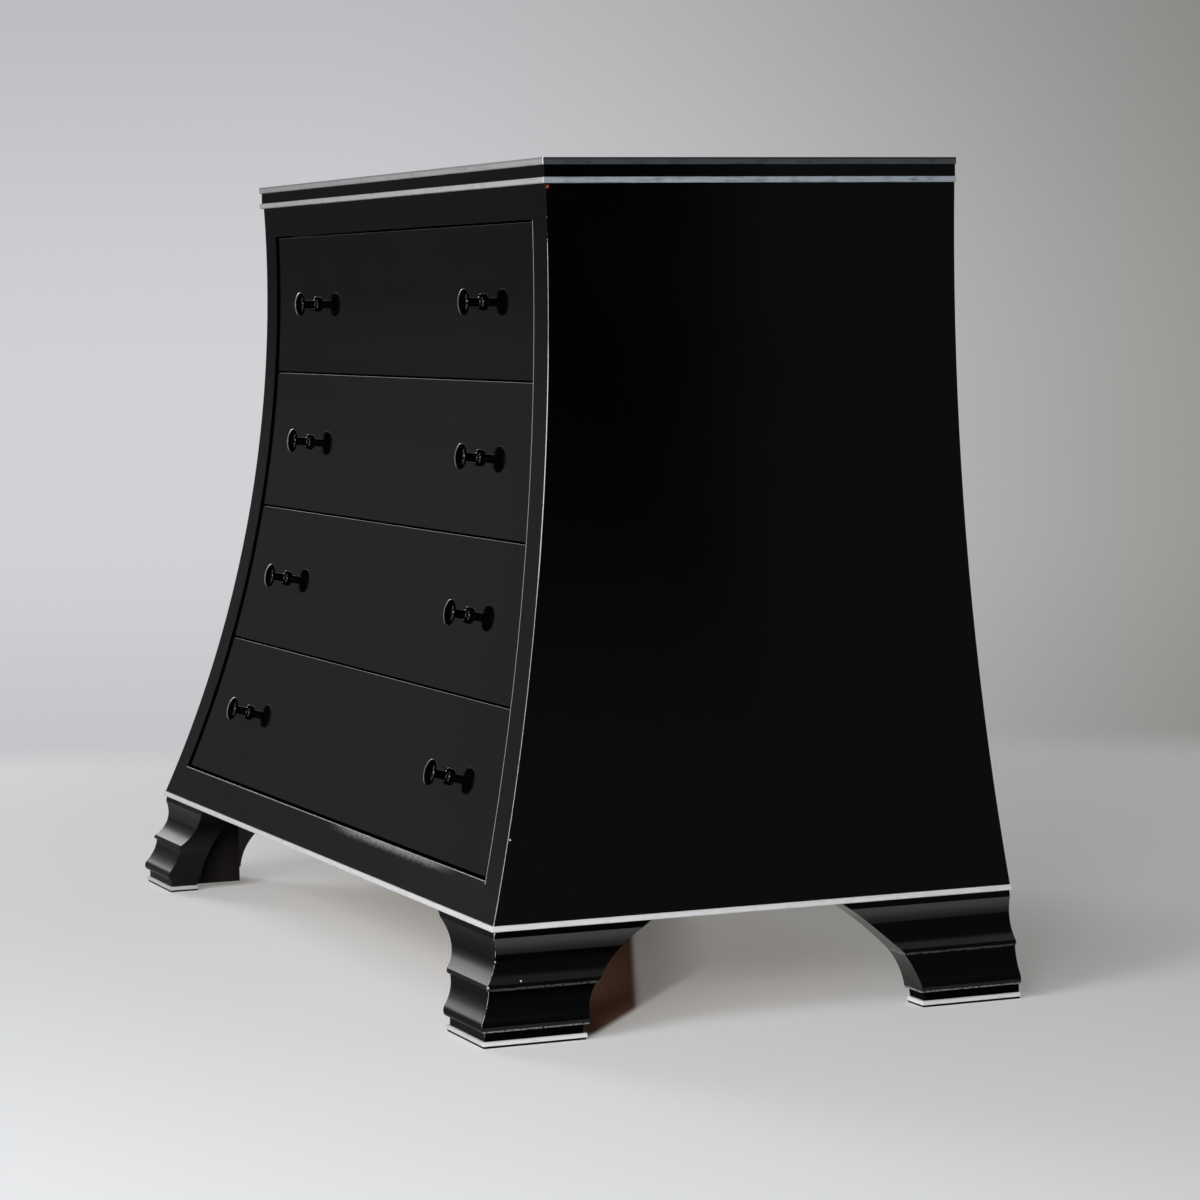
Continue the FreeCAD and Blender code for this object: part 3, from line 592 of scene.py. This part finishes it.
# %% [markdown]
# The picture looks as if it was taken through a polarising filter, which takes most of the sheen off
# what is seen at a flat angle. That is the front. Less light in the room would dim the front too,
# but from every side. So the front pieces have two specular levels, chosen by the viewing angle.

# %% Sheen by viewing angle
FLAT_ANGLE = (0.32, 0.50)
KNOB_MIDDLE = (0.08, 0.24)
KNOB_OUTLINE = (0.80, 0.69)


def turned_away(place):
    """0 where a surface faces the viewer, 1 where it is seen edge on."""
    return place.node("LayerWeight", inputs={"Blend": 0.5}, output="Facing")


def flat_angle(place):
    """What is seen at a flat angle, where the filter takes the sheen."""
    return turned_away(place).rise(*FLAT_ANGLE)


def knob_angle(place):
    """The same on a knob, where only the middle and the outline keep their sheen."""
    away = turned_away(place)
    return away.rise(*KNOB_MIDDLE) * away.rise(*KNOB_OUTLINE)


print("sheen goes from", FLAT_ANGLE[0], "to", FLAT_ANGLE[1])

# %% [markdown]
# The right stile has a light line on its inner edge, and the bottom rail a finer one on its upper edge:
# painted highlights, where these rounded edges catch the light. Below that, hands have left a haze.
# The top of the bottom rail has no sheen, as painted shade in the last gap.
# All three are masks, measured from the edges of the drawers' opening.

# %% Painted highlights, haze and gap shade on the frame
STILE_WIDTH = 0.041
OPENING_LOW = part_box("bottom_rail")[1].z
OPENING_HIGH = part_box("top_rail")[0].z
RAIL_FADE = (0.30, 0.20)
RAIL_GAP_EDGE = (0.0003, -0.0001)
STILE_LINE = 0.72
STILE_LINE_OUTER = (STILE_WIDTH - 0.0022, STILE_WIDTH - 0.0016)
STILE_LINE_INNER = (STILE_WIDTH + 0.0006, STILE_WIDTH)
STILE_LINE_FOOT = (OPENING_LOW - 0.004, OPENING_LOW - 0.002)
STILE_LINE_TOP = (OPENING_HIGH, OPENING_HIGH - 0.002)
RIGHT_STILE_ONLY = (0.1, 0.2)
ARRIS_LINE = 0.6
ARRIS_UPPER = (0.0, 0.0002)
ARRIS_LOWER = (0.0013, 0.0007)
HAZE = 0.7
HAZE_UPPER = (0.0, 0.0004)
HAZE_LOWER = (0.0095, 0.0)
HAZE_RAGGED = 0.006
HAZE_LEFT = (0.03, 0.15)
HAZE_RIGHT = (0.47, 0.34)


def on_bottom_rail(place):
    """The bottom rail between the stiles."""
    edge = depth_behind(side_reach, place)
    return edge.rise(STILE_WIDTH - MASK_EDGE, STILE_WIDTH + MASK_EDGE) * place.axis("Z").rise(*RAIL_FADE)


def rail_gap_shade(place):
    """The top of the bottom rail, set back in the gap and made matt: painted shade."""
    return (OPENING_LOW - place.axis("Z")).rise(*RAIL_GAP_EDGE) * on_bottom_rail(place)


def stile_highlight(place):
    """A painted highlight on the inner edge of the right stile, beside the drawers."""
    z = place.axis("Z")
    edge = depth_behind(side_reach, place)
    line = edge.rise(*STILE_LINE_OUTER) * edge.rise(*STILE_LINE_INNER)
    beside = z.rise(*STILE_LINE_FOOT) * z.rise(*STILE_LINE_TOP)
    return line * beside * place.axis("X").rise(*RIGHT_STILE_ONLY) * STILE_LINE


def rail_highlight_and_haze(place):
    """A painted highlight on the upper edge of the bottom rail, and the haze below it."""
    x = place.axis("X")
    under = OPENING_LOW - place.axis("Z")
    arris = under.rise(*ARRIS_UPPER) * under.rise(*ARRIS_LOWER) * ARRIS_LINE
    speck = place.noise(380.0, 3.0, 0.7).rise(0.25, 0.58)
    ragged = under + (place.stretched(1.0, 1.0, 0.3).noise(240.0, 3.0) - 0.5) * HAZE_RAGGED
    haze = under.rise(*HAZE_UPPER) * ragged.rise(*HAZE_LOWER) * speck
    haze *= x.rise(*HAZE_LEFT) * x.rise(*HAZE_RIGHT) * HAZE
    return arris.greater(haze) * on_bottom_rail(place)


# The painted highlights of the stile and rail, with the haze.
def frame_highlights_and_haze(place):
    return stile_highlight(place).greater(rail_highlight_and_haze(place))


print("drawers' opening between", rounded((OPENING_LOW, OPENING_HIGH)))

# %% [markdown]
# On the side wings of the feet, pale lines are painted under the lip and along the nose:
# painted reflections of the lit floor in those edges. The neck is dull, and the cove under the base bead
# has kept more polish.
# Each of these lies at one height of the moulding, so a mask by height is all that they need.

# %% Painted reflections, dull neck and polish on the feet
NECK_TOP = 0.0158
LIP_UNDER = 0.0549
LIP_LEVEL = 0.0575
COVE_LOW = 0.0925
COVE_HIGH = 0.1060
WING_OUTSIDE = (0.085, 0.095)
LIP_LINE = 0.4
LIP_LINE_LOWER = (LIP_UNDER - 0.0002, LIP_UNDER + 0.0004)
LIP_LINE_UPPER = (LIP_LEVEL + 0.0005, LIP_LEVEL - 0.0003)
NOSE_LINE = 0.9
NOSE_LINE_LOWER = (NECK_TOP - MASK_EDGE, NECK_TOP + MASK_EDGE)
NOSE_LINE_UPPER = (NECK_TOP + 0.0022, NECK_TOP + 0.0014)
COVE_POLISH = 0.5
COVE_RISE = (COVE_LOW - 0.002, COVE_HIGH - 0.0025)


def dull_neck(place):
    """The neck under the nose has no sheen."""
    return place.axis("Z").rise(NECK_TOP + MASK_EDGE, NECK_TOP - MASK_EDGE)


def wing_edge_reflections(place):
    """Pale lines on the side wings, under the lip and along the nose: painted reflections of the floor.
    """
    z = place.axis("Z")
    under_lip = z.rise(*LIP_LINE_LOWER) * z.rise(*LIP_LINE_UPPER)
    nose = z.rise(*NOSE_LINE_LOWER) * z.rise(*NOSE_LINE_UPPER)
    speck = place.noise(300.0, 3.0).rise(0.35, 0.55)
    outer = side_reach(place).rise(*WING_OUTSIDE)
    return (under_lip * LIP_LINE).greater(nose * NOSE_LINE) * outer * speck


def cove_polish(place):
    """More polish is left in the upper cove of the side wings."""
    z = place.axis("Z")
    below_cap = z.rise(COVE_HIGH + MASK_EDGE, COVE_HIGH - MASK_EDGE)
    return z.rise(*COVE_RISE) * below_cap * COVE_POLISH


# The lines at these heights are painted reflections.
print("worn lines at", NECK_TOP, "and", LIP_UNDER, "m above the floor")

# %% [markdown]
# Now each kind of piece gets its own lacquer. Most of it is the same black, but the front pieces
# lose their sheen at a flat angle, the top board's front edge is matt, and the wood behind is bare.

# %% Shines and wear of the lacquers
FACING_SHINE = 0.22
FRONT_SHINE = 0.010
SIDE_SHINE = 0.5
BAND_SHINE = 0.0045
FOOT_SHINE = 0.3
KNOB_SHINE = 0.6
GLOSS = 0.055
FOOT_FRONT_GLOSS = 0.16
FOOT_SIDE_GLOSS = 0.10
KNOB_GLOSS = 0.05
CASE_CHIPS_AND_HIGHLIGHT = (0.45, 0.72, 0.004)
FOOT_CHIPS_AND_HIGHLIGHT = (0.54, 0.54, 0.025)
CASE_NICKS = [
    ((0.4836, -0.1649, 0.8600), 0.0019, GROUND_RED),
    ((0.5701, -0.2513, 0.2010), 0.0012, PALE_GROUND_AND_HIGHLIGHT),
]
FOOT_NICKS = [
    ((0.6074, -0.2563, 0.0634), 0.0012, PALE_GROUND_AND_HIGHLIGHT),
    ((0.6101, -0.2927, 0.0598), 0.0015, PALE_GROUND_AND_HIGHLIGHT),
    ((0.5965, -0.2797, 0.1112), 0.0012, PALE_GROUND_AND_HIGHLIGHT),
    ((0.5964, -0.2796, 0.0828), 0.0012, PALE_GROUND_AND_HIGHLIGHT),
]
print("nicks:", len(CASE_NICKS) + len(FOOT_NICKS))

# %% Lacquers
LACQUER_STOP = 0.0004
DRAWER_RECESS = 0.0026
DRAWER_ARRIS = 0.0007
LACQUER_DEPTH = PANEL_THICKNESS - LACQUER_STOP
TOP_BAND_REACH = WAIST_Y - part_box("top_board")[0].y
TOP_BAND_EDGE = (TOP_BAND_REACH - 0.0006, TOP_BAND_REACH - 0.0002)


def front_band(place):
    """The front face of the top board's edge."""
    return front_reach(place).rise(*TOP_BAND_EDGE)


# Behind their rounded edges the drawer fronts have no sheen: painted shade in the gaps between them.
drawer_gap_shade = behind(front_reach, DRAWER_RECESS + DRAWER_ARRIS)
finishes.update({
    "frame_front": lacquer("frame_front_lacquer", FACING_SHINE, GLOSS, chips_and_highlight=CASE_CHIPS_AND_HIGHLIGHT,
                           bare=behind(front_reach, LACQUER_DEPTH), highlights_and_wear=frame_highlights_and_haze,
                           matt=[(flat_angle, FRONT_SHINE), (rail_gap_shade, NO_SHINE)]),
    "drawer_front": lacquer("drawer_front_lacquer", FACING_SHINE, GLOSS,
                            bare=behind(front_reach, DRAWER_RECESS + LACQUER_DEPTH),
                            matt=[(flat_angle, FRONT_SHINE), (drawer_gap_shade, NO_SHINE)]),
    "side": lacquer("side_lacquer", SIDE_SHINE, GLOSS, chips_and_highlight=CASE_CHIPS_AND_HIGHLIGHT, nicks=CASE_NICKS,
                    bare=behind(side_reach, LACQUER_DEPTH)),
    "top": lacquer("top_lacquer", SIDE_SHINE, GLOSS, matt=[(front_band, BAND_SHINE)]),
    "foot_front": lacquer("foot_front_lacquer", FACING_SHINE, FOOT_FRONT_GLOSS, chips_and_highlight=FOOT_CHIPS_AND_HIGHLIGHT,
                          nicks=FOOT_NICKS, matt=[(flat_angle, FRONT_SHINE)]),
    "foot_side": lacquer("foot_side_lacquer", FOOT_SHINE, FOOT_SIDE_GLOSS, chips_and_highlight=FOOT_CHIPS_AND_HIGHLIGHT,
                         nicks=FOOT_NICKS, coat=cove_polish, highlights_and_wear=wing_edge_reflections,
                         matt=[(dull_neck, FRONT_SHINE)]),
    "knob": lacquer("knob_lacquer", KNOB_SHINE, KNOB_GLOSS, matt=[(knob_angle, NO_SHINE)]),
})
print("finishes with the lacquers:", len(finishes))

# %% [markdown]
# Silver leaf: thin squares of metal laid on the mouldings, brushed down and worn at the corners.
# A metal shader alone would mirror the dark side of the room and look black.
# On the front the leaf is dulled to a satin, so it is a plain grey there. On the sides it still shines a
# little.
# The top bead's side is painted dark, as painted shade: it mirrors the dark side of the room.
# The lower one is bluish and streaked.

# %% Silver leaf
LEAF_WHITE = (0.92, 0.93, 0.95, 1.0)
MITRE_EDGE = 0.0004
WORN_MITRE = (0.0009, 0.0004)
TOP_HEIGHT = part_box("upper_bead")[1].z
TOP_ROUND = (TOP_HEIGHT - 0.0028, TOP_HEIGHT - 0.0012)
STREAK_DEPTH = 0.00005
HATCH_DEPTH = 0.000006
DULL_ROUGHNESS = 0.12


def silver(level, blue=1.0):
    """A grey of the leaf, made bluer where blue is above 1."""
    return level, level * blue ** 0.5, level * blue, 1.0


def silver_leaf(name, front, side, metal, roughness):
    """Leaf with a bright and a dull colour on each run; only the side runs shine as metal."""
    material, place = new_finish(name)
    from_mitre = side_reach(place) - front_reach(place)
    on_side = from_mitre.rise(-MITRE_EDGE, MITRE_EDGE)
    worn = abs(from_mitre).rise(*WORN_MITRE)
    streak = place.stretched(30.0, 30.0, 900.0).noise(1.0, 3.0, 0.6)
    hatch = place.stretched(700.0, 700.0, 60.0).noise(1.0, 2.0)
    patch = place.noise(60.0, 3.0)
    dull = (streak * 0.6 + patch * 0.4).rise(0.46, 0.72).greater(place.axis("Z").rise(*TOP_ROUND))
    leaf_colour = on_side.blend(dull.blend(*front), dull.blend(*side))
    leaf = place.node("BsdfPrincipled", inputs={
        "Base Color": worn.blend(leaf_colour, LEAF_WHITE),
        "Metallic": on_side * metal * (1 - worn),
        "Roughness": roughness + dull * DULL_ROUGHNESS,
        "Normal": bumped(place, streak * STREAK_DEPTH + hatch * HATCH_DEPTH),
        "Specular IOR Level": NO_SHINE,
    })
    close_finish(place, leaf)
    return material


print("leaf worn within", WORN_MITRE[0], "m of a mitre")

# %% Leaf on the beads and pads
WHITE_SIDE = (silver(0.95), silver(0.78))

finishes.update({
    # the dark greys of the upper bead's side are painted shade
    "upper_bead": silver_leaf("upper_bead_leaf", front=(silver(0.30), silver(0.20)),
                              side=(silver(0.085, 1.2), silver(0.03, 1.2)), metal=0.3, roughness=0.26),
    "lower_bead": silver_leaf("lower_bead_leaf", front=(silver(0.37), silver(0.27)),
                              side=(silver(0.42, 1.25), silver(0.14, 1.3)), metal=0.2, roughness=0.28),
    "base_bead": silver_leaf("base_bead_leaf", front=(silver(0.62), silver(0.48)),
                             side=WHITE_SIDE, metal=0.35, roughness=0.30),
    "pads": silver_leaf("pad_leaf", front=(silver(0.55), silver(0.43)),
                        side=WHITE_SIDE, metal=0.35, roughness=0.30),
})
print("finishes with the leaf:", len(finishes))

# %% [markdown]
# Each piece of the model now gets its finish. A list of all the pieces would do, but their names
# already say what they are, so a few rules on the names are enough.
# The first rule that fits a name is the one that counts.

# %% Finishes on the pieces
FINISH_RULES = [
    ("_front_wing", "foot_front"), ("_side_wing", "foot_side"), ("_back_bracket", "stain_and_gap_shade"),
    ("foot_pads", "pads"), ("foot_soles", "sole"), ("foot_corner_blocks", "stain_and_gap_shade"),
    ("upper_bead", "upper_bead"), ("lower_bead", "lower_bead"), ("base_bead", "base_bead"),
    ("_side_panel", "side"), ("top_board", "top"), ("back_panel", "stain_and_gap_shade"),
    ("_stile", "frame_front"), ("top_rail", "frame_front"), ("bottom_rail", "frame_front"),
    ("_knobs", "knob"), ("_front", "drawer_front"),
    ("_left_side", "oak_along"), ("_right_side", "oak_along"),
    # the hidden drawer rails take the dark stain as painted shade in the gaps
    ("_back", "oak_across"), ("_bottom", "oak_across"), ("drawer_rail", "stain_and_gap_shade"),
    ("bottom_board", "pine_across"), ("drawer_stops", "pine_across"), ("drawer_", "pine_along"),
]
for name, piece in nodes.items():
    finish = next(kind for part, kind in FINISH_RULES if part in name)
    piece.material_slots[0].material = finishes[finish]
print("finishes given to", len(nodes), "pieces")
